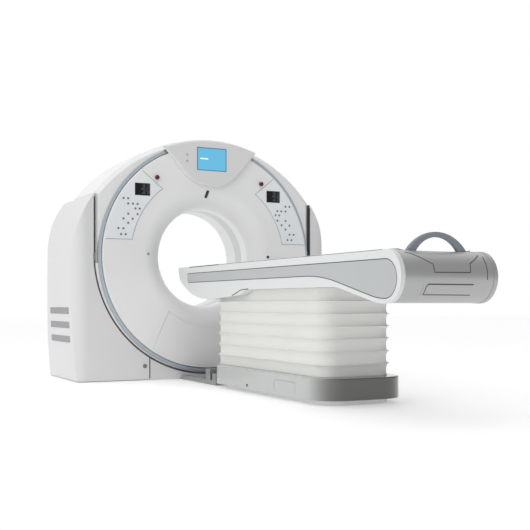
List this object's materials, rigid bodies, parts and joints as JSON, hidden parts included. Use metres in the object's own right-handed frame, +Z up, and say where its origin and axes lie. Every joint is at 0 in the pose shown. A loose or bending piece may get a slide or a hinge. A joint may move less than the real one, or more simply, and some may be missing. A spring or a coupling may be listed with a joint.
{
  "type": "ct scanner",
  "caption": "Medical CT scanner: a tilting ring gantry with a spinning rotor in a fixed stand, and a patient couch that lifts on a bellows and slides its tabletop into the bore.",
  "frame": {"origin": "on the floor, straight below the isocentre (the middle of the bore, on the tilt axis)", "axes": "+X to the right seen from the couch, +Y from the couch into the bore, +Z up"},
  "size_m": [2.196, 3.913, 1.891],
  "materials": {
    "base_paint": "glossy grey paint",
    "bellows_skin": "matt warm white coated cloth",
    "black_window": "black window with faint digits",
    "blue_ring": "translucent steel blue band",
    "carbon_top": "smooth sealed table surface",
    "cast_aluminium": "cast and machined aluminium",
    "dark_window": "dark laser and lamp windows",
    "disc_cover": "smooth satin light grey cover",
    "frame_paint": "grey enamel on steel",
    "grey_inlay": "satin light blue-grey panel",
    "key_grey": "mid grey key caps",
    "matte_black": "black insulating moulding",
    "screen": "lit sky blue display",
    "silver_cover": "silver-grey paint",
    "slate_grip": "slate blue soft grip",
    "steel": "machined steel",
    "stop_red": "dark red button",
    "vent_grey": "mid grey louvres",
    "white_cover": "smooth satin moulded cover",
    "window_film": "thin grey scan window film"
  },
  "bodies": {
    "stand": {"gantry_base": "frame_paint", "left_tower": "frame_paint", "right_tower": "frame_paint", "tilt_bearings": "steel", "tilt_drive": "frame_paint", "anchor_bolts": "steel", "left_side_cover": "white_cover", "right_side_cover": "white_cover", "vent_grilles": "vent_grey", "left_rear_cover": "white_cover", "right_rear_cover": "white_cover", "front_skirt": "white_cover", "rear_skirt": "white_cover", "cover_locks": "steel", "couch_base_plate": "frame_paint", "couch_plinth": "base_paint", "column_outer_tubes": "steel", "docking_rail": "steel"},
    "tilting_unit": {"tilt_frame": "frame_paint", "hood_cover": "white_cover", "lower_shell": "white_cover", "light_ring": "blue_ring", "front_cover": "disc_cover", "lower_access_panel": "disc_cover", "bore_liners": "white_cover", "scan_window": "window_film", "rear_cover": "disc_cover", "bearing_outer_race": "steel", "brush_block": "matte_black", "display_housing": "white_cover", "display_screen": "screen", "left_control_panel": "disc_cover", "right_control_panel": "disc_cover", "panel_keys": "key_grey", "readouts": "black_window", "laser_windows": "dark_window"},
    "rotor": {"rotor_drum": "cast_aluminium", "bearing_inner_race": "steel", "bearing_balls": "steel", "xray_tube": "cast_aluminium", "collimator": "steel", "detector": "cast_aluminium", "high_voltage_generator": "frame_paint", "tube_cooler": "frame_paint", "slip_ring": "matte_black"},
    "left_stop": {"left_emergency_button": "stop_red"},
    "right_stop": {"right_emergency_button": "stop_red"},
    "lower_button": {"lower_hood_button": "key_grey"},
    "upper_button": {"upper_hood_button": "key_grey"},
    "lift_stage": {"column_middle_tubes": "steel"},
    "couch": {"column_inner_tubes": "steel", "couch_bellows": "bellows_skin", "couch_body_shell": "white_cover", "side_inlays": "grey_inlay", "foot_cover": "silver_cover", "foot_hatch": "silver_cover", "couch_chassis": "cast_aluminium", "release_cap": "key_grey"},
    "table": {"tabletop": "carbon_top", "table_handle": "slate_grip"}
  },
  "joints": [
    {"name": "gantry_tilt", "type": "hinge", "parent": "stand", "child": "tilting_unit", "pos_m": [0, 0, 0.958], "axis": [-1, 0, 0], "range_deg": [-22, 22]},
    {"name": "rotor_spin", "type": "hinge", "parent": "tilting_unit", "child": "rotor", "pos_m": [0, 0, 0.958], "axis": [0, 1, 0], "continuous": true},
    {"name": "left_stop_press", "type": "slide", "parent": "tilting_unit", "child": "left_stop", "axis": [0, 1, 0], "range_m": [0, 0.005], "stiffness_N_per_m": 1500, "springref_m": -0.004},
    {"name": "right_stop_press", "type": "slide", "parent": "tilting_unit", "child": "right_stop", "axis": [0, 1, 0], "range_m": [0, 0.005], "stiffness_N_per_m": 1500, "springref_m": -0.004},
    {"name": "lower_button_press", "type": "slide", "parent": "tilting_unit", "child": "lower_button", "axis": [0, 1, 0], "range_m": [0, 0.003], "stiffness_N_per_m": 900, "springref_m": -0.002},
    {"name": "upper_button_press", "type": "slide", "parent": "tilting_unit", "child": "upper_button", "axis": [0, 1, 0], "range_m": [0, 0.003], "stiffness_N_per_m": 900, "springref_m": -0.002},
    {"name": "couch_lift", "type": "slide", "parent": "stand", "child": "couch", "axis": [0, 0, 1], "range_m": [-0.44, 0], "deforming": ["couch_bellows"]},
    {"name": "lift_stage_slide", "type": "slide", "parent": "stand", "child": "lift_stage", "axis": [0, 0, 1], "range_m": [-0.22, 0]},
    {"name": "table_slide", "type": "slide", "parent": "couch", "child": "table", "axis": [0, 1, 0], "range_m": [0, 1.75]}
  ],
  "couplings": [
    {"joint": "lift_stage_slide", "follows": "couch_lift", "ratio": 0.5}
  ]
}
